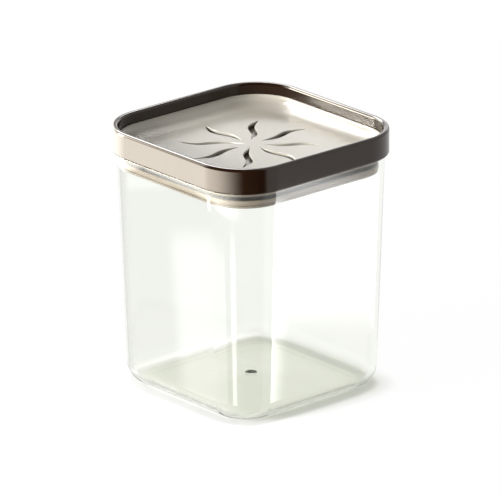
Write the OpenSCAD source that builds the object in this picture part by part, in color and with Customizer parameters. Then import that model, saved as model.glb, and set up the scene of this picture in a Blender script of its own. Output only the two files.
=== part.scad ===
// Square storage canister: a drafted glass jar closed by a push-in stacking lid.
//
// The lid is a sandwich. A frame with a skirt drops over the mouth, and its inner
// ledge sits on the glass. A dished plate with a star of wavy slots lies on the ledge,
// and a plug below closes the slots and carries a two-lobed seal into the mouth.
//
// Each piece is one profile carried round the same rounded square. All of them share
// their corner centres, so walls and gaps stay even round the corners.
// Profile points are [distance from the middle plane, height above the table].

/* [Overall] */
// Width of the lid across its flats
lid_w = 100; // [84:1:140]
// Outer corner radius of the lid
lid_corner_r = 23.7; // [17:0.1:30]

/* [Jar] */
// Height of the jar, from the foot to the mouth
jar_h = 109.7; // [60:0.1:220]
// Thickness of the glass wall
glass_wall = 2.2; // [1.5:0.1:2.6]
// Thickness of the glass floor
glass_floor = 2.2; // [1.8:0.1:3]
// How far each wall leans in from the mouth down to the foot
jar_lean = 3.9; // [0:0.1:4.5]
// Radius of the outer edge between wall and foot
foot_edge_r = 10; // [4:0.1:11]
// Radius inside, between wall and floor
floor_edge_r = 7.8; // [3:0.1:9]
// Radius of the rounded glass edges at the mouth
mouth_edge_r = 0.7; // [0.2:0.1:0.7]
// Width of the ring that the jar stands on, at the middle of each side
foot_ring_w = 2.5; // [1.5:0.1:6]
// How far the low dome inside the ring lifts the middle of the base
base_lift = 2.4; // [0.6:0.1:3]
// Diameter of the gate dimple in the middle of the floor
gate_d = 6; // [3:0.5:10]
// Depth of the gate dimple
gate_depth = 0.8; // [0.3:0.1:1.2]

/* [Lid frame] */
// Height of the frame, from skirt to top edge
frame_h = 11.5; // [9.6:0.1:16]
// Wall of the frame above the ledge
frame_wall = 2.8; // [2.4:0.1:3.4]
// Wall of the skirt outside the mouth
skirt_wall = 1.6; // [1.2:0.1:2.2]
// How far the skirt hangs below the mouth of the jar
skirt_overlap = 1.2; // [0.6:0.1:1.6]
// Thickness of the ledge that sits on the glass
ledge_t = 1.2; // [0.8:0.1:1.5]
// Radius of the outer top edge of the frame
frame_edge_r = 1.2; // [0.4:0.1:1.3]
// Radius of the lower edge of the skirt
skirt_edge_r = 0.6; // [0.2:0.1:0.7]

/* [Plate] */
// Thickness of the flat plate
plate_t = 1.1; // [0.8:0.1:1.4]
// How far the middle of the plate drops inside the ledge
plate_step = 0.8; // [0.4:0.1:0.9]
// Width of the cove that sweeps up to the frame
cove_w = 12; // [4:0.1:13]
// Height of the cove
cove_h = 3.7; // [2.5:0.1:4]
// Width of the lip along the top of the cove
cove_lip = 0.5; // [0.3:0.1:0.8]
// Number of slots in the star
slots = 8; // [5:1:10]
// Distance from the middle to the inner tips of the slots
slot_from = 6.6; // [5:0.1:9]
// Distance from the middle to the outer tips of the slots
slot_to = 32; // [24:0.1:34]
// Greatest width of a slot
slot_w = 3.2; // [1.5:0.1:3.8]
// Sideways sway of a slot
slot_sway = 1.1; // [0:0.1:2]

/* [Plug] */
// Wall of the plug that reaches into the mouth
plug_wall = 1.6; // [1:0.1:2.4]
// Gap between the plate and the web that closes its slots
web_drop = 1.6; // [0.6:0.1:2.5]
// Thickness of that web
plug_web = 1.2; // [0.8:0.1:2]
// Depth that the plug reaches below the mouth of the jar
plug_reach = 8.8; // [6.5:0.1:14]
// Height of the shoulder that holds the seal from above
shoulder_t = 0.8; // [0.5:0.1:1.5]
// Height of the bead that holds the seal from below
bead_t = 1; // [0.6:0.1:1.5]
// Width of the shoulder that catches under the ledge
shoulder_catch = 0.6; // [0.4:0.1:0.9]
// Depth of the groove that the seal sits in
seal_bed = 1.9; // [1.5:0.1:2.4]

/* [Seal] */
// Thickness of the seal between its lobes
seal_t = 0.9; // [0.6:0.1:1.1]
// Height of the groove between the lobes
seal_groove = 0.8; // [0.4:0.1:1.6]

/* [Fits] */
// Gap between the skirt and the outside of the glass
skirt_gap = 0.3; // [0.2:0.05:0.8]
// Gap between the seal lobes and the inside of the glass
seal_gap = 0.3; // [0.2:0.05:0.5]
// Gap between the plug shoulder and the inside of the glass
plug_gap = 0.5; // [0.4:0.05:0.9]
// Gap round the plate and the plug web inside the frame
insert_gap = 0.1; // [0.05:0.05:0.2]

/* [Hidden] */

$fn = 64;
arc_steps = 6;
// Points along each side of a slot, and how many waves it makes.
slot_steps = 18;
slot_waves = 1.15;
dome_steps = 8;
cut_margin = 1;

// Distance from the middle planes to the corner centres that all pieces share.
centre = lid_w / 2 - lid_corner_r;

// Levels of the lid's stack, worked out from the mouth that carries it.
frame_bottom = jar_h - skirt_overlap;
frame_top = frame_bottom + frame_h;
ledge_top = jar_h + ledge_t;
plate_under = ledge_top - plate_step;
plate_top = plate_under + plate_t;
web_top = plate_under - web_drop;
web_under = web_top - plug_web;
shoulder_under = jar_h - shoulder_t;
plug_bottom = jar_h - plug_reach;
bead_top = plug_bottom + bead_t;

// Half widths, from the outside in.
frame_out = lid_w / 2;
frame_in = frame_out - frame_wall;
skirt_in = frame_out - skirt_wall;
mouth_out = skirt_in - skirt_gap;
mouth_in = mouth_out - glass_wall;
foot_out = mouth_out - jar_lean;
shoulder_out = mouth_in - plug_gap;
ledge_in = shoulder_out - shoulder_catch;
insert_out = ledge_in - insert_gap;
plug_out = shoulder_out - seal_bed;
plug_in = plug_out - plug_wall;
plate_out = frame_in - insert_gap;

// Half widths of the glass at height z, outside and inside.
function glass_out(z) = foot_out + jar_lean * z / jar_h;
function glass_in(z) = glass_out(z) - glass_wall;
// Points on a quarter or half oval about [x, z], from one angle to another.
function oval(x, z, half_w, half_h, from, to) =
    [for (i = [0:arc_steps]) let (a = from + (to - from) * i / arc_steps)
        [x + half_w * cos(a), z + half_h * sin(a)]];
function arc(x, z, r, from, to) = oval(x, z, r, r, from, to);

// Carries a profile round the rounded square: four turned corners, four straight sides.
module carry(profile) {
    local = [for (p = profile) [p.x - centre, p.y]];
    for (quarter = [0:3]) rotate(90 * quarter) translate([centre, centre, 0]) {
        rotate_extrude(angle = 90) polygon(local);
        rotate([90, 0, 0]) linear_extrude(2 * centre) polygon(local);
    }
}

// Fills the square between the corner centres.
module core(from, to) {
    translate([-centre, -centre, from]) cube([2 * centre, 2 * centre, to - from]);
}

// A low round rise on a level, with a smooth foot and top. It starts a little below.
module dome(level, rim) {
    function rise(t) = base_lift * (1 + cos(180 * t)) / 2;
    translate([0, 0, level]) rotate_extrude() polygon(concat(
        [[0, -cut_margin], [rim, -cut_margin]],
        [for (i = [dome_steps:-1:0]) let (t = i / dome_steps) [rim * t, rise(t)]]));
}

module glass_jar() {
    lean = atan(jar_lean / jar_h);
    foot_x = glass_out(foot_edge_r) - foot_edge_r / cos(lean);
    floor_z = glass_floor + floor_edge_r;
    floor_x = glass_in(floor_z) - floor_edge_r / cos(lean);
    dome_r = foot_x - foot_ring_w;
    color([0.92, 0.95, 0.92, 0.45]) difference() {
        union() {
            carry(concat(
                [[centre, 0]],
                arc(foot_x, foot_edge_r, foot_edge_r, -90, -lean),
                arc(mouth_out - mouth_edge_r, jar_h - mouth_edge_r, mouth_edge_r, 0, 90),
                arc(mouth_in + mouth_edge_r, jar_h - mouth_edge_r, mouth_edge_r, 90, 180),
                arc(floor_x, floor_z, floor_edge_r, -lean, -90),
                [[centre, glass_floor]]));
            core(0, glass_floor);
            dome(glass_floor, dome_r);
        }
        dome(0, dome_r);
        gate_r = gate_d / 2;
        bowl_r = (gate_r * gate_r + gate_depth * gate_depth) / (2 * gate_depth);
        translate([0, 0, glass_floor + base_lift - gate_depth + bowl_r]) sphere(bowl_r);
    }
}

module lid_frame() {
    color([0.22, 0.17, 0.13])
        carry(concat(
            [[skirt_in, frame_bottom]],
            arc(frame_out - skirt_edge_r, frame_bottom + skirt_edge_r, skirt_edge_r, -90, 0),
            arc(frame_out - frame_edge_r, frame_top - frame_edge_r, frame_edge_r, 0, 90),
            arc(frame_in + frame_edge_r, frame_top - frame_edge_r, frame_edge_r, 90, 180),
            [[frame_in, ledge_top], [ledge_in, ledge_top]],
            [[ledge_in, jar_h], [skirt_in, jar_h]]));
}

// One slot along +X: a wavy flame that is pointed at both ends and sways more outwards.
module wavy_slot() {
    function along(t) = slot_from + (slot_to - slot_from) * t;
    function sway(t) = -slot_sway * (0.6 + 0.8 * t) * sin(360 * slot_waves * t);
    function half_w(t) = slot_w / 2 * sin(180 * t);
    polygon(concat(
        [for (i = [0:slot_steps]) let (t = i / slot_steps) [along(t), sway(t) - half_w(t)]],
        [for (i = [slot_steps - 1:-1:1]) let (t = i / slot_steps) [along(t), sway(t) + half_w(t)]]));
}

module lid_plate() {
    cove_x = plate_out - cove_lip - cove_w;
    cove_z = plate_top + cove_h;
    color([0.80, 0.78, 0.71]) difference() {
        union() {
            carry(concat(
                [[centre, plate_under], [insert_out, plate_under], [insert_out, ledge_top]],
                [[plate_out, ledge_top], [plate_out, cove_z]],
                oval(cove_x, cove_z, cove_w, cove_h, 0, -90),
                [[centre, plate_top]]));
            core(plate_under, plate_top);
        }
        for (i = [0:slots - 1]) rotate(360 / slots * i)
            translate([0, 0, plate_under - cut_margin])
                linear_extrude(plate_t + 2 * cut_margin) wavy_slot();
    }
}

module lid_plug() {
    chamfer = bead_t / 2;
    bead_out = glass_in(plug_bottom) - plug_gap;
    color([0.62, 0.57, 0.51]) {
        carry([
            [centre, web_under], [plug_in, web_under],
            [plug_in, plug_bottom + chamfer], [plug_in + chamfer, plug_bottom],
            [bead_out - chamfer, plug_bottom], [bead_out, plug_bottom + chamfer],
            [bead_out, bead_top], [plug_out, bead_top],
            [plug_out, shoulder_under], [shoulder_out, shoulder_under],
            [shoulder_out, jar_h], [insert_out, jar_h],
            [insert_out, plate_under], [plug_in, plate_under],
            [plug_in, web_top], [centre, web_top]]);
        core(web_under, web_top);
    }
}

module lid_seal() {
    root = plug_out + seal_t;
    lobe_h = (shoulder_under - bead_top - seal_groove) / 2;
    // Outline of one lobe, bulging from the root to just short of the glass.
    function lobe(z) =
        let (mid = z + lobe_h / 2, bulge = glass_in(mid) - seal_gap - root)
        [for (i = [0:arc_steps]) let (a = 180 * i / arc_steps)
            [root + bulge * sin(a), mid - lobe_h / 2 * cos(a)]];
    color([0.58, 0.53, 0.47])
        carry(concat([[plug_out, bead_top]], lobe(bead_top),
            lobe(shoulder_under - lobe_h), [[plug_out, shoulder_under]]));
}

glass_jar();
lid_frame();
lid_plate();
lid_plug();
lid_seal();
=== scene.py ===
"""Looks of the square storage canister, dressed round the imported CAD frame.

Every piece is one profile carried round a rounded square, as in the CAD, with finer curves
and small fillets. Profile points are (half width, height, corner radius), in metres.
"""
import math

import bmesh
import bpy
from mathutils import Matrix, Vector


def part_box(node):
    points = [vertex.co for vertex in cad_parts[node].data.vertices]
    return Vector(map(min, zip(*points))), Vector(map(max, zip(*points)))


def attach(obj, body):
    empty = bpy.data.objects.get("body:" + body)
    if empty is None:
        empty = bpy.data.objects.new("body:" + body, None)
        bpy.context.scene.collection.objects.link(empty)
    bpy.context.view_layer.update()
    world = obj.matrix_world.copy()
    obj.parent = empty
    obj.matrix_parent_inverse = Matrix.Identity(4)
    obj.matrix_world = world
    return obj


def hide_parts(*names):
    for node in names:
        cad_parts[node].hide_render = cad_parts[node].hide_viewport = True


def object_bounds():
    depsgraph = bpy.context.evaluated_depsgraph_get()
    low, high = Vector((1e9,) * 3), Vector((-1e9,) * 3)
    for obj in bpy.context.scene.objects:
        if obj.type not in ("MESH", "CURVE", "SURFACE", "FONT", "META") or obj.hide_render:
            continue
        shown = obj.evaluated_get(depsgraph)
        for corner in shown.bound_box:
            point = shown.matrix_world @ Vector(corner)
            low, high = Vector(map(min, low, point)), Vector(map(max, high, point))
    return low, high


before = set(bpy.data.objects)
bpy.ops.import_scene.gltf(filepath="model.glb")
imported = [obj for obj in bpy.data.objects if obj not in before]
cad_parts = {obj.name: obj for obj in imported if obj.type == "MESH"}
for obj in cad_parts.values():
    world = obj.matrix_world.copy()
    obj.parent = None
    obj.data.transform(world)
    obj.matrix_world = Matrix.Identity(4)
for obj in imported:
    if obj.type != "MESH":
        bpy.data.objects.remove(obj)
cad_low, cad_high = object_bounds()

MM = 0.001

# ---------------------------------------------------------------- sizes from the frame
_, JAR_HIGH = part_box("glass_jar")
FRAME_LOW, FRAME_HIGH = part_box("lid_frame")
PLATE_LOW, PLATE_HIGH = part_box("lid_plate")
PLUG_LOW, PLUG_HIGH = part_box("lid_plug")
SEAL_LOW, SEAL_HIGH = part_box("lid_seal")

MOUTH_OUT = JAR_HIGH.x
MOUTH_Z = JAR_HIGH.z
FRAME_OUT = FRAME_HIGH.x
PLATE_OUT = PLATE_HIGH.x

# Sizes that the boxes don't give, as in the CAD.
LID_CORNER_R = 23.7 * MM
CENTRE = FRAME_OUT - LID_CORNER_R
GLASS_WALL = 2.2 * MM
GLASS_FLOOR = 2.2 * MM
JAR_LEAN = 3.9 * MM
FOOT_EDGE_R = 10 * MM
FLOOR_EDGE_R = 7.8 * MM
FOOT_RING_W = 2.5 * MM
BASE_LIFT = 2.4 * MM
MOUTH_EDGE_R = 0.7 * MM
GATE_R = 3 * MM
GATE_DEPTH = 0.8 * MM
GATE_EDGE = 0.2 * MM
FRAME_WALL = 2.8 * MM
SKIRT_WALL = 1.6 * MM
LEDGE_T = 1.2 * MM
FRAME_EDGE_R = 1.2 * MM
SKIRT_EDGE_R = 0.6 * MM
PLUG_GAP = 0.5 * MM
SHOULDER_CATCH = 0.6 * MM
INSERT_GAP = 0.1 * MM
SHOULDER_OUT = MOUTH_OUT - GLASS_WALL - PLUG_GAP
LEDGE_IN = SHOULDER_OUT - SHOULDER_CATCH
INSERT_OUT = LEDGE_IN - INSERT_GAP
PLATE_T = 1.1 * MM
COVE_W = 12 * MM
COVE_LIP = 0.5 * MM
SLOTS = 8
SLOT_FROM = 6.6 * MM
SLOT_TO = 32 * MM
SLOT_W = 3.2 * MM
SLOT_SWAY = 1.1 * MM
SLOT_WAVES = 1.15
SWAY_FROM, SWAY_GAIN = 0.6, 0.8
FLARE_END = 0.125
SEAL_BED = 1.9 * MM
PLUG_OUT = SHOULDER_OUT - SEAL_BED
PLUG_WALL = 1.6 * MM
PLUG_WEB = 1.2 * MM
WEB_DROP = 1.6 * MM
BEAD_T = 1 * MM
SEAL_T = 0.9 * MM
SEAL_GROOVE = 0.8 * MM
SEAL_GAP = 0.3 * MM
GROOVE_Z = (SEAL_LOW.z + SEAL_HIGH.z) / 2

# Edges too small for the CAD to round.
FINE_R = 0.2 * MM
LEDGE_EDGE_R = 0.15 * MM
WEB_EDGE_R = 0.6 * MM
SLOT_EDGE_R = 0.35 * MM
LIP_EDGE_R = 0.1 * MM

# How finely the meshes are cut.
CORNER_STEPS = 28
SIDE_STEPS = 6
FILLET_STEPS = 10
RISE_STEPS = 20
SLOT_STEPS = 26
FLARE_STEPS = 4
HARD_ANGLE = math.radians(32)
MERGE_DISTANCE = 0.001 * MM
CUT_PAST = 1 * MM


# ---------------------------------------------------------------- meshes
def rounded_profile(points, closed):
    """Swaps each (x, z, radius) corner for an arc, where the radius isn't zero."""
    outline = []
    count = len(points)
    for i, (x, z, radius) in enumerate(points):
        at_end = not closed and i in (0, count - 1)
        if radius == 0 or at_end:
            outline.append((x, z))
            continue
        corner = Vector((x, z))
        before = (Vector(points[i - 1][:2]) - corner).normalized()
        after = (Vector(points[(i + 1) % count][:2]) - corner).normalized()
        half = before.angle(after) / 2
        middle = corner + (before + after).normalized() * (radius / math.sin(half))
        start = corner + before * (radius / math.tan(half)) - middle
        end = corner + after * (radius / math.tan(half)) - middle
        sweep = start.angle_signed(end)
        for step in range(FILLET_STEPS + 1):
            turn = -sweep * step / FILLET_STEPS
            spoke = Matrix.Rotation(turn, 2) @ start
            outline.append(tuple(middle + spoke))
    return outline


def square_ring(half):
    """Points round the rounded square of that half width, with the shared corner centres."""
    radius = half - CENTRE
    ring = []
    for quarter in range(4):
        turn = Matrix.Rotation(quarter * math.pi / 2, 2)
        for step in range(CORNER_STEPS + 1):
            angle = step / CORNER_STEPS * math.pi / 2
            spot = Vector((CENTRE + radius * math.cos(angle), CENTRE + radius * math.sin(angle)))
            ring.append(turn @ spot)
        for step in range(1, SIDE_STEPS):
            along = CENTRE * (1 - 2 * step / SIDE_STEPS)
            ring.append(turn @ Vector((along, CENTRE + radius)))
    return ring


BEARINGS = [math.atan2(spot.y, spot.x) for spot in square_ring(MOUTH_OUT)]


def circle_ring(radius):
    """As many points round a circle, at the same bearings."""
    return [Vector((radius * math.cos(a), radius * math.sin(a))) for a in BEARINGS]


def new_object(name, data):
    """Puts that mesh, camera or lamp data in the scene."""
    thing = bpy.data.objects.new(name, data)
    bpy.context.scene.collection.objects.link(thing)
    return thing


def mesh_object(name, shape):
    """Turns a finished bmesh into an object in the scene."""
    mesh_data = bpy.data.meshes.new(name)
    shape.to_mesh(mesh_data)
    shape.free()
    return new_object(name, mesh_data)


def join_rings(shape, low, high):
    """Faces between two rings. A ring may be one point, which closes it to a fan."""
    count = max(len(low), len(high))
    for i in range(count):
        j = (i + 1) % count
        corners = [low[i % len(low)], low[j % len(low)], high[j % len(high)], high[i % len(high)]]
        shape.faces.new(list(dict.fromkeys(corners)))


def carried(name, points, closed=True, round_to=0):
    """A solid made by carrying the profile round. An open profile starts and ends on the axis.
    Points no further out than round_to go round circles instead."""
    outline = rounded_profile(points, closed)
    shape = bmesh.new()
    rings = []
    for half, height in outline:
        if half == 0:
            rings.append([shape.verts.new((0, 0, height))])
        else:
            spots = circle_ring(half) if half <= round_to else square_ring(half)
            rings.append([shape.verts.new((spot.x, spot.y, height)) for spot in spots])
    pairs = list(zip(rings, rings[1:])) + ([(rings[-1], rings[0])] if closed else [])
    for low, high in pairs:
        join_rings(shape, low, high)
    bmesh.ops.remove_doubles(shape, verts=shape.verts, dist=MERGE_DISTANCE)
    bmesh.ops.recalc_face_normals(shape, faces=shape.faces)
    return mesh_object(name, shape)


def shade(piece):
    """Smooth faces, hard edges where two faces turn sharply, and normals that keep flats flat."""
    shape = bmesh.new()
    shape.from_mesh(piece.data)
    for face in shape.faces:
        face.smooth = True
    for edge in shape.edges:
        edge.smooth = len(edge.link_faces) == 2 and edge.calc_face_angle() < HARD_ANGLE
    shape.to_mesh(piece.data)
    shape.free()
    weighted = piece.modifiers.new("weighted_normals", "WEIGHTED_NORMAL")
    weighted.keep_sharp = True


def cut(piece, cutter):
    """Cuts one closed mesh out of another for good."""
    boolean = piece.modifiers.new("cut", "BOOLEAN")
    boolean.operation = "DIFFERENCE"
    boolean.solver = "EXACT"
    boolean.object = cutter
    bpy.context.view_layer.update()
    depsgraph = bpy.context.evaluated_depsgraph_get()
    done = bpy.data.meshes.new_from_object(piece.evaluated_get(depsgraph))
    piece.modifiers.clear()
    piece.data = done
    bpy.data.objects.remove(cutter)


def install(piece, node, body, material):
    """Puts a finished piece in the place of its CAD node."""
    shade(piece)
    piece.data.materials.clear()
    piece.data.materials.append(material)
    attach(piece, body)
    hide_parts(node)


# ---------------------------------------------------------------- the pieces
def glass_in(height):
    """Half width of the jar's inner face at that height."""
    return MOUTH_OUT - JAR_LEAN * (1 - height / MOUTH_Z) - GLASS_WALL


def dome(dome_r, level, inner=0.0):
    """Points of the low smooth rise in the middle of the base, from its rim inwards."""
    points = []
    for step in range(RISE_STEPS):
        half = dome_r - (dome_r - inner) * step / RISE_STEPS
        points.append((half, level + BASE_LIFT * (1 + math.cos(math.pi * half / dome_r)) / 2, 0))
    return points


def gate_bowl(floor_z):
    """The dimple that the moulding gate leaves in the middle of the floor."""
    bowl_r = (GATE_R ** 2 + GATE_DEPTH ** 2) / (2 * GATE_DEPTH)
    half_angle = math.asin(GATE_R / bowl_r)
    middle_z = floor_z - GATE_DEPTH + bowl_r
    points = []
    for step in range(FILLET_STEPS):
        angle = half_angle * (1 - step / FILLET_STEPS)
        points.append((bowl_r * math.sin(angle), middle_z - bowl_r * math.cos(angle), 0))
    return points + [(0, floor_z - GATE_DEPTH, 0)]


def jar():
    """An even shell. Its base rises in a low dome inside the ring that the jar stands on."""
    foot_out = MOUTH_OUT - JAR_LEAN
    lean = math.atan(JAR_LEAN / MOUTH_Z)
    dome_r = foot_out - FOOT_EDGE_R * math.tan(math.pi / 4 - lean / 2) - FOOT_RING_W
    return carried("jar_glass", [
        (0, BASE_LIFT, 0),
        *dome(dome_r, 0)[::-1],
        (foot_out, 0, FOOT_EDGE_R),
        (MOUTH_OUT, MOUTH_Z, MOUTH_EDGE_R),
        (MOUTH_OUT - GLASS_WALL, MOUTH_Z, MOUTH_EDGE_R),
        (glass_in(GLASS_FLOOR), GLASS_FLOOR, FLOOR_EDGE_R),
        *dome(dome_r, GLASS_FLOOR, GATE_R + GATE_EDGE),
        *gate_bowl(GLASS_FLOOR + BASE_LIFT),
    ], closed=False, round_to=dome_r)


def lid_frame():
    """A skirt outside the mouth, a raised edge above it, and a ledge that sits on the glass."""
    frame_in = FRAME_OUT - FRAME_WALL
    skirt_in = FRAME_OUT - SKIRT_WALL
    ledge_top = MOUTH_Z + LEDGE_T
    return carried("lid_frame_gloss", [
        (skirt_in, FRAME_LOW.z, FINE_R),
        (FRAME_OUT, FRAME_LOW.z, SKIRT_EDGE_R),
        (FRAME_OUT, FRAME_HIGH.z, FRAME_EDGE_R),
        (frame_in, FRAME_HIGH.z, FRAME_EDGE_R),
        (frame_in, ledge_top, LEDGE_EDGE_R),
        (LEDGE_IN, ledge_top, LEDGE_EDGE_R),
        (LEDGE_IN, MOUTH_Z, LEDGE_EDGE_R),
        (skirt_in, MOUTH_Z, FINE_R),
    ])


def slot_outline(flare):
    """Points round one wavy slot along +X, grown by the flare, which fades out at its tips."""
    near, far = [], []
    for step in range(SLOT_STEPS + 1):
        t = step / SLOT_STEPS
        along = SLOT_FROM - flare + (SLOT_TO - SLOT_FROM + 2 * flare) * t
        sway = -SLOT_SWAY * (SWAY_FROM + SWAY_GAIN * t) * math.sin(2 * math.pi * SLOT_WAVES * t)
        half_w = SLOT_W / 2 * math.sin(math.pi * t) + flare * min(1, t / FLARE_END, (1 - t) / FLARE_END)
        near.append((along, sway - half_w))
        if 0 < step < SLOT_STEPS:
            far.append((along, sway + half_w))
    return near + far[::-1]


def slot_cutter(index, plate_top, plate_under):
    """One wavy slot, flared at the top so that the cut leaves a rounded edge."""
    flare_from = plate_top - SLOT_EDGE_R
    levels = [(plate_under - CUT_PAST, 0), (flare_from, 0)]
    for step in range(1, FLARE_STEPS + 1):
        angle = step / FLARE_STEPS * math.pi / 2
        height = flare_from + SLOT_EDGE_R * math.sin(angle)
        levels.append((height, SLOT_EDGE_R * (1 - math.cos(angle))))
    levels.append((plate_top + CUT_PAST, SLOT_EDGE_R))
    shape = bmesh.new()
    rings = []
    for height, flare in levels:
        rings.append([shape.verts.new((x, y, height)) for x, y in slot_outline(flare)])
    for low, high in zip(rings, rings[1:]):
        join_rings(shape, low, high)
    shape.faces.new(rings[0][::-1])
    shape.faces.new(rings[-1])
    bmesh.ops.recalc_face_normals(shape, faces=shape.faces)
    cutter = mesh_object("slot_cutter", shape)
    cutter.data.transform(Matrix.Rotation(2 * math.pi * index / SLOTS, 4, "Z"))
    return cutter


def lid_plate():
    """The sunken plate, dished up to the frame by an elliptical cove, with its star of slots."""
    under = PLATE_LOW.z
    top = under + PLATE_T
    ledge_top = MOUTH_Z + LEDGE_T
    lip_in = PLATE_OUT - COVE_LIP
    cove_x, cove_h = lip_in - COVE_W, PLATE_HIGH.z - top
    turns = [math.pi / 2 * step / RISE_STEPS for step in range(1, RISE_STEPS + 1)]
    cove = [(cove_x + COVE_W * math.cos(a), PLATE_HIGH.z - cove_h * math.sin(a), 0) for a in turns]
    plate = carried("lid_plate_satin", [
        (0, under, 0),
        (INSERT_OUT, under, FINE_R),
        (INSERT_OUT, ledge_top, 0),
        (PLATE_OUT, ledge_top, FINE_R),
        (PLATE_OUT, PLATE_HIGH.z, FINE_R),
        (lip_in, PLATE_HIGH.z, 0),
        *cove,
        (0, top, 0),
    ], closed=False)
    for index in range(SLOTS):
        cut(plate, slot_cutter(index, top, under))
    return plate


def lid_plug():
    """A square ring in the mouth, with a web across it and a bed for the seal round it."""
    plug_in = PLUG_OUT - PLUG_WALL
    web_top = PLATE_LOW.z - WEB_DROP
    web_under = web_top - PLUG_WEB
    bead_out = glass_in(PLUG_LOW.z) - PLUG_GAP
    chamfer = BEAD_T / 2
    return carried("lid_plug_satin", [
        (0, web_under, 0),
        (plug_in, web_under, WEB_EDGE_R),
        (plug_in, PLUG_LOW.z, chamfer),
        (bead_out, PLUG_LOW.z, chamfer),
        (bead_out, SEAL_LOW.z, FINE_R),
        (PLUG_OUT, SEAL_LOW.z, 0),
        (PLUG_OUT, SEAL_HIGH.z, 0),
        (SHOULDER_OUT, SEAL_HIGH.z, FINE_R),
        (SHOULDER_OUT, MOUTH_Z, FINE_R),
        (INSERT_OUT, MOUTH_Z, 0),
        (INSERT_OUT, PLUG_HIGH.z, LIP_EDGE_R),
        (plug_in, PLUG_HIGH.z, LIP_EDGE_R),
        (plug_in, web_top, WEB_EDGE_R),
        (0, web_top, 0),
    ], closed=False)


def seal_lobe(low, high, root):
    """Outline of one lobe, bulging from the root to just short of the glass."""
    middle = (low + high) / 2
    bulge = glass_in(middle) - SEAL_GAP - root
    steps = 2 * FILLET_STEPS
    turns = [math.pi * step / steps for step in range(steps + 1)]
    return [(root + bulge * math.sin(a), middle - (high - low) / 2 * math.cos(a), 0) for a in turns]


def lid_seal():
    """Two soft lobes with a groove between them, on the bed of the plug."""
    root = PLUG_OUT + SEAL_T
    lobe_h = (SEAL_HIGH.z - SEAL_LOW.z - SEAL_GROOVE) / 2
    return carried("lid_seal_silicone", [
        (PLUG_OUT, SEAL_LOW.z, 0),
        *seal_lobe(SEAL_LOW.z, SEAL_LOW.z + lobe_h, root),
        *seal_lobe(SEAL_HIGH.z - lobe_h, SEAL_HIGH.z, root),
        (PLUG_OUT, SEAL_HIGH.z, 0),
    ])


# ---------------------------------------------------------------- colours
WHITE = (1, 1, 1, 1)
WARM_WHITE = (1, 0.97, 0.88, 1)
DARK_BROWN = (0.011, 0.0042, 0.0017)
BROWN_GLOSS = (1, 0.93, 0.86, 1)
BROWN_ROUGHNESS = 0.10
GREIGE = (0.34, 0.315, 0.265)
GREIGE_ROUGHNESS = 0.19
TAUPE = (0.27, 0.225, 0.18)
TAUPE_ROUGHNESS = 0.3
SEAL_TAUPE = (0.34, 0.275, 0.22)
GLASS_IOR = 1.5
PLASTIC_IOR = 1.5
SILICONE_IOR = 1.42

# Painted shade in the seal's groove: the seal is darkest there and has its full colour this far from
# the middle of it.
GROOVE_SHADE_DARKEST = 0.03
GROOVE_SHADE_BAND = (0.6 * MM, 1.3 * MM)

# The glass's surface tint, what its thickness absorbs, and the light that its shadow keeps.
GLASS_TINT = (0.985, 0.99, 0.976, 1)
GLASS_BODY = (0.76, 0.80, 0.62, 1)
GLASS_DENSITY = 30.0
GLASS_SHADOW = (0.80, 0.81, 0.78, 1)


# ---------------------------------------------------------------- materials
def node(tree, kind, inputs=None, **settings):
    """Adds a node. An input is a plain value, or an output socket to link from."""
    new = tree.nodes.new(kind)
    for key, value in settings.items():
        setattr(new, key, value)
    for key, value in (inputs or {}).items():
        if isinstance(value, bpy.types.NodeSocket):
            tree.links.new(value, new.inputs[key])
        else:
            new.inputs[key].default_value = value
    return new


def math_node(tree, operation, a, b=0.0):
    """A sum on one or two values. Each is a number or an output socket."""
    return node(tree, "ShaderNodeMath", {0: a, 1: b}, operation=operation).outputs[0]


def smooth_range(tree, value, source, target):
    """Maps the source range smoothly onto the target range."""
    inputs = {"Value": value, "From Min": source[0], "From Max": source[1],
              "To Min": target[0], "To Max": target[1]}
    return node(tree, "ShaderNodeMapRange", inputs, interpolation_type="SMOOTHSTEP").outputs[0]


def empty_material(name):
    """A new material with no nodes, and its node tree."""
    material = bpy.data.materials.new(name)
    material.use_nodes = True
    material.node_tree.nodes.clear()
    return material, material.node_tree


def noise(tree, scale, detail):
    """Cloudy noise through the object, in which the scale is in cells per metre."""
    place = node(tree, "ShaderNodeTexCoord").outputs["Object"]
    texture = node(tree, "ShaderNodeTexNoise", {"Vector": place, "Scale": scale, "Detail": detail})
    return texture.outputs["Fac"]


def spread(tree, value, low, high):
    """Maps a noise, which stays mostly between 0.3 and 0.7, onto a range."""
    inputs = {"Value": value, "From Min": 0.3, "From Max": 0.7, "To Min": low, "To Max": high}
    return node(tree, "ShaderNodeMapRange", inputs).outputs[0]


def tinted(tree, colour, light):
    """The colour times a grey value that varies from place to place."""
    return node(tree, "ShaderNodeVectorMath", {0: colour, 1: light}, operation="MULTIPLY").outputs[0]


def relief(tree, strength, depth, height):
    """A bump that is too fine to model."""
    inputs = {"Strength": strength, "Distance": depth, "Height": height}
    return node(tree, "ShaderNodeBump", inputs).outputs[0]


def moulded_plastic(name, colour, roughness, gloss_tint=WHITE):
    """Injection-moulded plastic: faintly mottled, with uneven gloss and a fine mould grain."""
    material, tree = empty_material(name)
    mottle = spread(tree, noise(tree, 160, 3.0), 0.985, 1.015)
    polish = spread(tree, noise(tree, 420, 4.0), roughness * 0.95, roughness * 1.05)
    grain = relief(tree, 0.3, 0.002 * MM, noise(tree, 2600, 1.0))
    shader = node(tree, "ShaderNodeBsdfPrincipled", {
        "Base Color": tinted(tree, colour, mottle), "Roughness": polish, "IOR": PLASTIC_IOR,
        "Specular Tint": gloss_tint, "Normal": grain})
    node(tree, "ShaderNodeOutputMaterial", {"Surface": shader.outputs[0]})
    return material


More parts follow.
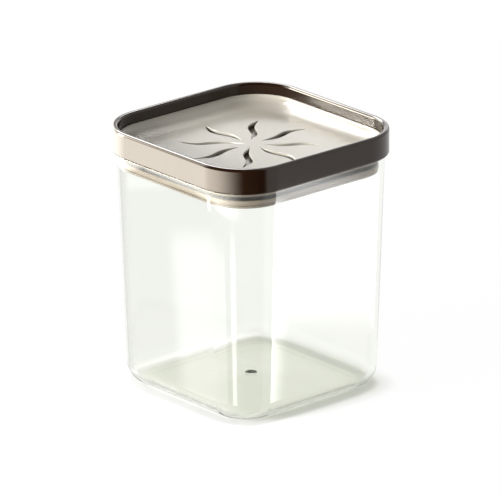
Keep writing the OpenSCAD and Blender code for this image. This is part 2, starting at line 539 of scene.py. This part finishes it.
def painted_groove_shade(tree):
    """Painted shade: dark at the height of the seal's groove and 1 above and below it."""
    place = node(tree, "ShaderNodeTexCoord").outputs["Object"]
    height = node(tree, "ShaderNodeSeparateXYZ", {0: place}).outputs["Z"]
    off_groove = math_node(tree, "ABSOLUTE", math_node(tree, "SUBTRACT", height, GROOVE_Z))
    return smooth_range(tree, off_groove, GROOVE_SHADE_BAND, (GROOVE_SHADE_DARKEST, 1.0))


def silicone(name, colour):
    """Matt silicone, with painted shade darkening the groove between its lobes."""
    material, tree = empty_material(name)
    mottle = spread(tree, noise(tree, 240, 3.0), 0.96, 1.04)
    # The mottle is the silicone's own uneven tone; the groove factor is painted shade.
    light = math_node(tree, "MULTIPLY", mottle, painted_groove_shade(tree))
    haze = spread(tree, noise(tree, 900, 3.0), 0.34, 0.46)
    skin = relief(tree, 0.4, 0.01 * MM, noise(tree, 1800, 3.0))
    shader = node(tree, "ShaderNodeBsdfPrincipled", {
        "Base Color": tinted(tree, colour, light), "Roughness": haze, "IOR": SILICONE_IOR,
        "Transmission Weight": 0.1, "Normal": skin})
    node(tree, "ShaderNodeOutputMaterial", {"Surface": shader.outputs[0]})
    return material


def clear_glass(name):
    """Clear glass with a faint green-yellow body, slightly uneven as pressed glass is."""
    material, tree = empty_material(name)
    polish = spread(tree, noise(tree, 60, 4.0), 0.0, 0.02)
    swirl = relief(tree, 0.25, 0.02 * MM, noise(tree, 38, 2.0))
    shader = node(tree, "ShaderNodeBsdfPrincipled", {
        "Base Color": GLASS_TINT, "Roughness": polish, "IOR": GLASS_IOR,
        "Transmission Weight": 1.0, "Normal": swirl})
    clear = node(tree, "ShaderNodeBsdfTransparent", {"Color": GLASS_SHADOW})
    in_shadow = node(tree, "ShaderNodeLightPath").outputs["Is Shadow Ray"]
    mix = node(tree, "ShaderNodeMixShader", {
        0: in_shadow, 1: shader.outputs[0], 2: clear.outputs[0]})
    body = node(tree, "ShaderNodeVolumeAbsorption", {"Color": GLASS_BODY, "Density": GLASS_DENSITY})
    node(tree, "ShaderNodeOutputMaterial", {"Surface": mix.outputs[0], "Volume": body.outputs[0]})
    return material


# ---------------------------------------------------------------- camera
# Angles in degrees, and the focal length in pixels of a picture PHOTO_PX wide.
CAM_FOCAL_PX = 7139.5
CAM_DISTANCE = 3.142
CAM_AZIMUTH = 49.136
CAM_ELEVATION = 19.676
CAM_PAN = 0.0089
CAM_TILT = -0.0553
CAM_ROLL = 0.3279
CAM_TARGET = Vector((0, 0, 65 * MM))
PHOTO_PX = 500
SENSOR = 36.0


def photo_camera():
    """The camera at the photograph's place: an orbit about the target, then small turns."""
    azimuth, elevation = math.radians(CAM_AZIMUTH), math.radians(CAM_ELEVATION)
    back = Vector((math.sin(azimuth) * math.cos(elevation),
                   -math.cos(azimuth) * math.cos(elevation), math.sin(elevation)))
    ahead = -back
    right = ahead.cross(Vector((0, 0, 1))).normalized()
    up = right.cross(ahead)
    pan = Matrix.Rotation(math.radians(CAM_PAN), 3, up)
    ahead, right = pan @ ahead, pan @ right
    tilt = Matrix.Rotation(math.radians(CAM_TILT), 3, right)
    ahead, up = tilt @ ahead, tilt @ up
    roll = Matrix.Rotation(math.radians(CAM_ROLL), 3, ahead)
    right, up = roll @ right, roll @ up
    data = bpy.data.cameras.new("photo_camera")
    data.sensor_width = SENSOR
    data.lens = CAM_FOCAL_PX / PHOTO_PX * SENSOR
    data.clip_start, data.clip_end = 0.05, 30
    camera = new_object("photo_camera", data)
    turn = Matrix((right, up, -ahead)).transposed().to_4x4()
    camera.matrix_world = Matrix.Translation(CAM_TARGET + back * CAM_DISTANCE) @ turn
    bpy.context.scene.camera = camera


# ---------------------------------------------------------------- studio
# What the world gives to matt surfaces, what gloss reflects behind and in front, and over
# which Y of the direction it turns from dark to bright.
WORLD_DIFFUSE = 0.62
GLOSS_BRIGHT = 0.95
GLOSS_DARK = 0.03
GLOSS_TURN = (0.0, 0.2)
LAMP_TARGET = Vector((0, 0, 60 * MM))

# The floor's own shade, its darker shade for a painted contact shadow, and how far its seen colour is
# plain white instead.
FLOOR_ALBEDO = 0.85
FLOOR_SHADOW_ALBEDO = 0.62
FLOOR_NEAR_WHITE = 0.96
FLOOR_FOOT_WHITE = 0.05
FLOOR_UNDER_WHITE = 0.15

# Half widths, on the floor, of the rounded squares between which its shade changes.
UNDER_BAND = (28 * MM, 37 * MM)
# The painted contact shadow fades in over the first of these two bands and out over the second.
SHADOW_IN_BAND = (36 * MM, 40 * MM)
SHADOW_OUT_BAND = (43 * MM, 47 * MM)
NEAR_BAND = (42 * MM, 54 * MM)
FAR_BAND = (0.10, 0.40)
FLOOR_SIZE = 12
FLOOR_GAP = 0.1 * MM
SQUARENESS = 5.0

CARD_RADIUS = 0.30
CARD_STEPS = 24


def seen_by_eye(tree):
    """1 for what the camera sees, directly or through the glass, and else 0."""
    rays = node(tree, "ShaderNodeLightPath").outputs
    return math_node(tree, "MAXIMUM", rays["Is Camera Ray"], rays["Is Transmission Ray"])


def studio_world():
    """White behind everything. Reflections see a white back half and a dark front half."""
    world = bpy.data.worlds.new("studio")
    world.use_nodes = True
    bpy.context.scene.world = world
    tree = world.node_tree
    tree.nodes.clear()
    direction = node(tree, "ShaderNodeTexCoord").outputs["Generated"]
    depth = node(tree, "ShaderNodeSeparateXYZ", {0: direction}).outputs["Y"]
    gloss = smooth_range(tree, depth, GLOSS_TURN, (GLOSS_DARK, GLOSS_BRIGHT))
    glossy = node(tree, "ShaderNodeLightPath").outputs["Is Glossy Ray"]
    level = node(tree, "ShaderNodeMix", {"Factor": glossy, "A": WORLD_DIFFUSE, "B": gloss}).outputs[0]
    level = node(tree, "ShaderNodeMix", {"Factor": seen_by_eye(tree), "A": level, "B": 1.0}).outputs[0]
    background = node(tree, "ShaderNodeBackground", {"Color": WHITE, "Strength": level})
    node(tree, "ShaderNodeOutputWorld", {"Surface": background.outputs[0]})


def square_distance(tree, place):
    """Half width of the rounded square through that place of the floor."""
    parts = node(tree, "ShaderNodeSeparateXYZ", {0: place})
    powers = []
    for axis in ("X", "Y"):
        size = math_node(tree, "ABSOLUTE", parts.outputs[axis])
        powers.append(math_node(tree, "POWER", size, SQUARENESS))
    return math_node(tree, "POWER", math_node(tree, "ADD", powers[0], powers[1]), 1 / SQUARENESS)


def floor_white_share(tree, reach):
    """How much of the floor's seen colour is plain white: least at the foot, all far away."""
    inside = smooth_range(tree, reach, UNDER_BAND, (FLOOR_UNDER_WHITE, FLOOR_FOOT_WHITE))
    outside = smooth_range(tree, reach, NEAR_BAND, (FLOOR_FOOT_WHITE, FLOOR_NEAR_WHITE))
    near = math_node(tree, "MAXIMUM", inside, outside)
    return smooth_range(tree, reach, FAR_BAND, (near, 1.0))


def floor_albedo_painted_shadow(tree, reach):
    """Painted contact shadow: the floor is darker in a ring below the rounded foot edge."""
    to_edge = smooth_range(tree, reach, SHADOW_IN_BAND, (FLOOR_ALBEDO, FLOOR_SHADOW_ALBEDO))
    past_edge = smooth_range(tree, reach, SHADOW_OUT_BAND, (FLOOR_SHADOW_ALBEDO, FLOOR_ALBEDO))
    return math_node(tree, "MAXIMUM", to_edge, past_edge)


def pale_floor():
    """A white floor that keeps the object's soft shadow near it, with a painted contact shadow below
    the foot edge, and is plain white further out.
    """
    bpy.ops.mesh.primitive_plane_add(size=FLOOR_SIZE, location=(0, 0, cad_low.z - FLOOR_GAP))
    floor = bpy.context.object
    floor.name = "floor"
    material, tree = empty_material("floor_white")
    reach = square_distance(tree, node(tree, "ShaderNodeTexCoord").outputs["Object"])
    share = math_node(tree, "MULTIPLY", seen_by_eye(tree), floor_white_share(tree, reach))
    diffuse = node(tree, "ShaderNodeBsdfDiffuse", {"Color": floor_albedo_painted_shadow(tree, reach)})
    white = node(tree, "ShaderNodeEmission", {"Color": WHITE, "Strength": 1.0})
    mix = node(tree, "ShaderNodeMixShader", {0: share, 1: diffuse.outputs[0], 2: white.outputs[0]})
    node(tree, "ShaderNodeOutputMaterial", {"Surface": mix.outputs[0]})
    floor.data.materials.append(material)
    floor.visible_glossy = False


def soft_lamp(name, place, size, watts):
    """A softbox, turned to the object, that lights it but isn't seen in it."""
    data = bpy.data.lights.new(name, "AREA")
    data.shape = "RECTANGLE"
    data.size, data.size_y = size
    data.energy = watts
    lamp = new_object(name, data)
    lamp.location = place
    lamp.rotation_mode = "QUATERNION"
    lamp.rotation_quaternion = (LAMP_TARGET - Vector(place)).to_track_quat("-Z", "Y")
    lamp.visible_camera = False
    lamp.visible_glossy = False
    lamp.visible_transmission = False


def edge_fade(tree, coordinate, soft):
    """Rises from 0 to 1 over the first soft share of the coordinate, and falls over the last."""
    ends = []
    for value, share in zip((coordinate, math_node(tree, "SUBTRACT", 1.0, coordinate)), soft):
        ends.append(smooth_range(tree, value, (0.0, share), (0.0, 1.0)))
    return math_node(tree, "MULTIPLY", ends[0], ends[1])


def card_strip(name, azimuths, levels, slant):
    """A strip round the object's axis, whose lower edge climbs by the slant along it."""
    shape = bmesh.new()
    uv_layer = shape.loops.layers.uv.new("place")
    columns = []
    for step in range(CARD_STEPS + 1):
        share = step / CARD_STEPS
        azimuth = math.radians(azimuths[0] + (azimuths[1] - azimuths[0]) * share)
        x, y = CARD_RADIUS * math.sin(azimuth), -CARD_RADIUS * math.cos(azimuth)
        ends = (levels[0] + slant * share, levels[1])
        columns.append([shape.verts.new((x, y, height)) for height in ends])
    for step in range(CARD_STEPS):
        near, far = columns[step], columns[step + 1]
        face = shape.faces.new((near[0], far[0], far[1], near[1]))
        corners = ((step, 0), (step + 1, 0), (step + 1, 1), (step, 1))
        for loop, (across, along) in zip(face.loops, corners):
            loop[uv_layer].uv = (across / CARD_STEPS, along)
    return mesh_object(name, shape)


def card_glow(name, radiance, soft_across, soft_up, colour):
    """Clear to look through, and glowing with soft edges."""
    material, tree = empty_material(name)
    place = node(tree, "ShaderNodeUVMap", uv_map="place").outputs[0]
    parts = node(tree, "ShaderNodeSeparateXYZ", {0: place})
    fade = math_node(tree, "MULTIPLY", edge_fade(tree, parts.outputs["X"], soft_across),
                     edge_fade(tree, parts.outputs["Y"], soft_up))
    strength = math_node(tree, "MULTIPLY", fade, radiance)
    light = node(tree, "ShaderNodeEmission", {"Color": colour, "Strength": strength})
    clear = node(tree, "ShaderNodeBsdfTransparent")
    both = node(tree, "ShaderNodeAddShader", {0: light.outputs[0], 1: clear.outputs[0]})
    node(tree, "ShaderNodeOutputMaterial", {"Surface": both.outputs[0]})
    return material


def reflected_card(name, azimuths, heights, radiance, soft_across, soft_up,
                   colour=WARM_WHITE, slant=0.0):
    """A curved strip of light that only reflections see. Azimuths are as the camera's, in
    degrees, and heights in millimetres. The soft shares say how much of the strip fades at
    its two ends and at its lower and upper edges."""
    levels = (heights[0] * MM, heights[1] * MM)
    card = card_strip(name, azimuths, levels, slant * MM)
    card.data.materials.append(card_glow(name, radiance, soft_across, soft_up, colour))
    card.visible_camera = False
    card.visible_diffuse = False
    card.visible_transmission = False
    card.visible_shadow = False


def lid_cards():
    """What the lid's front left face, its corner and its rounded top edges reflect."""
    top, left_low, right_low, crisp = 46, 3, -17, 0.001
    reflected_card("lid_glow_left", (-150, -95), (left_low, top), 0.4, (0.1, 0.3), (0.1, 0.1))
    reflected_card("lid_light_left", (-115, -46), (left_low, top), 11.5, (0.999, crisp), (0.1, 0.1))
    reflected_card("lid_light_face", (-46, -39), (left_low, top), 11.5, (crisp, crisp), (0.1, 0.1),
                   slant=right_low - left_low)
    reflected_card("lid_light_right", (-39, -27), (right_low, top), 12, (crisp, 0.3), (0.1, 0.1))
    reflected_card("corner_light", (-31, 50), (-12, top), 11.5, (0.05, 0.74), (0.1, 0.1))
    reflected_card("key_panel", (-118, -30), (38, 430), 6, (0.3, 0.12), (0.02, 0.1))
    reflected_card("rim_light", (-64, -45), (40, 270), 30, (0.2, 0.2), (0.1, 0.2))


def plate_cards():
    """What the dished plate reflects: a bright band in its cove and a sheen on its flat."""
    reflected_card("cove_light", (226, 268), (262, 430), 16, (0.12, 0.1), (0.08, 0.1), WHITE)
    reflected_card("right_sheen", (190, 229), (170, 260), 1.5, (0.1, 0.25), (0.1, 0.2), WHITE)
    reflected_card("back_sheen", (219, 242), (150, 228), 1.35, (0.3, 0.5), (0.1, 0.35), WHITE)


def wall_cards():
    """What the jar's two front walls and its front corner reflect."""
    low = -130
    reflected_card("band_light", (-60, -36), (-8, 6), 1.4, (0.6, 0.1), (0.4, 0.15), WHITE)
    reflected_card("wall_light", (-44.6, 6), (low, -22), 2, (0.03, 0.05), (0.05, 0.15), WHITE)
    reflected_card("right_wall_light", (117, 170), (-84, 6), 6, (0.05, 0.1), (0.45, 0.12), WHITE)
    reflected_card("left_line", (16, 30), (low, -8), 7, (0.3, 0.3), (0.05, 0.3), WHITE)
    reflected_card("right_line", (112.5, 124), (low, -8), 9, (0.25, 0.25), (0.05, 0.05), WHITE)


def studio():
    """The room, a weak fill from the left and a key from low in front, then the cards."""
    studio_world()
    pale_floor()
    soft_lamp("fill_left", place=(-0.87, -0.32, 0.88), size=(0.5, 0.5), watts=3)
    soft_lamp("key_front", place=(-0.25, -1.2, 0.44), size=(0.45, 0.25), watts=38)
    lid_cards()
    plate_cards()
    wall_cards()


# ---------------------------------------------------------------- the scene
photo_camera()
studio()
install(jar(), "glass_jar", "jar", clear_glass("clear_glass"))
install(lid_frame(), "lid_frame", "lid",
        moulded_plastic("brown_gloss", DARK_BROWN, BROWN_ROUGHNESS, BROWN_GLOSS))
install(lid_plate(), "lid_plate", "lid",
        moulded_plastic("greige_satin", GREIGE, GREIGE_ROUGHNESS))
install(lid_plug(), "lid_plug", "lid",
        moulded_plastic("taupe_satin", TAUPE, TAUPE_ROUGHNESS))
install(lid_seal(), "lid_seal", "lid", silicone("seal_silicone", SEAL_TAUPE))

scene = bpy.context.scene
scene.view_settings.view_transform = "Standard"

# Enough for light to get through every wall of glass.
scene.cycles.max_bounces = 24
scene.cycles.glossy_bounces = 16
scene.cycles.transmission_bounces = 20
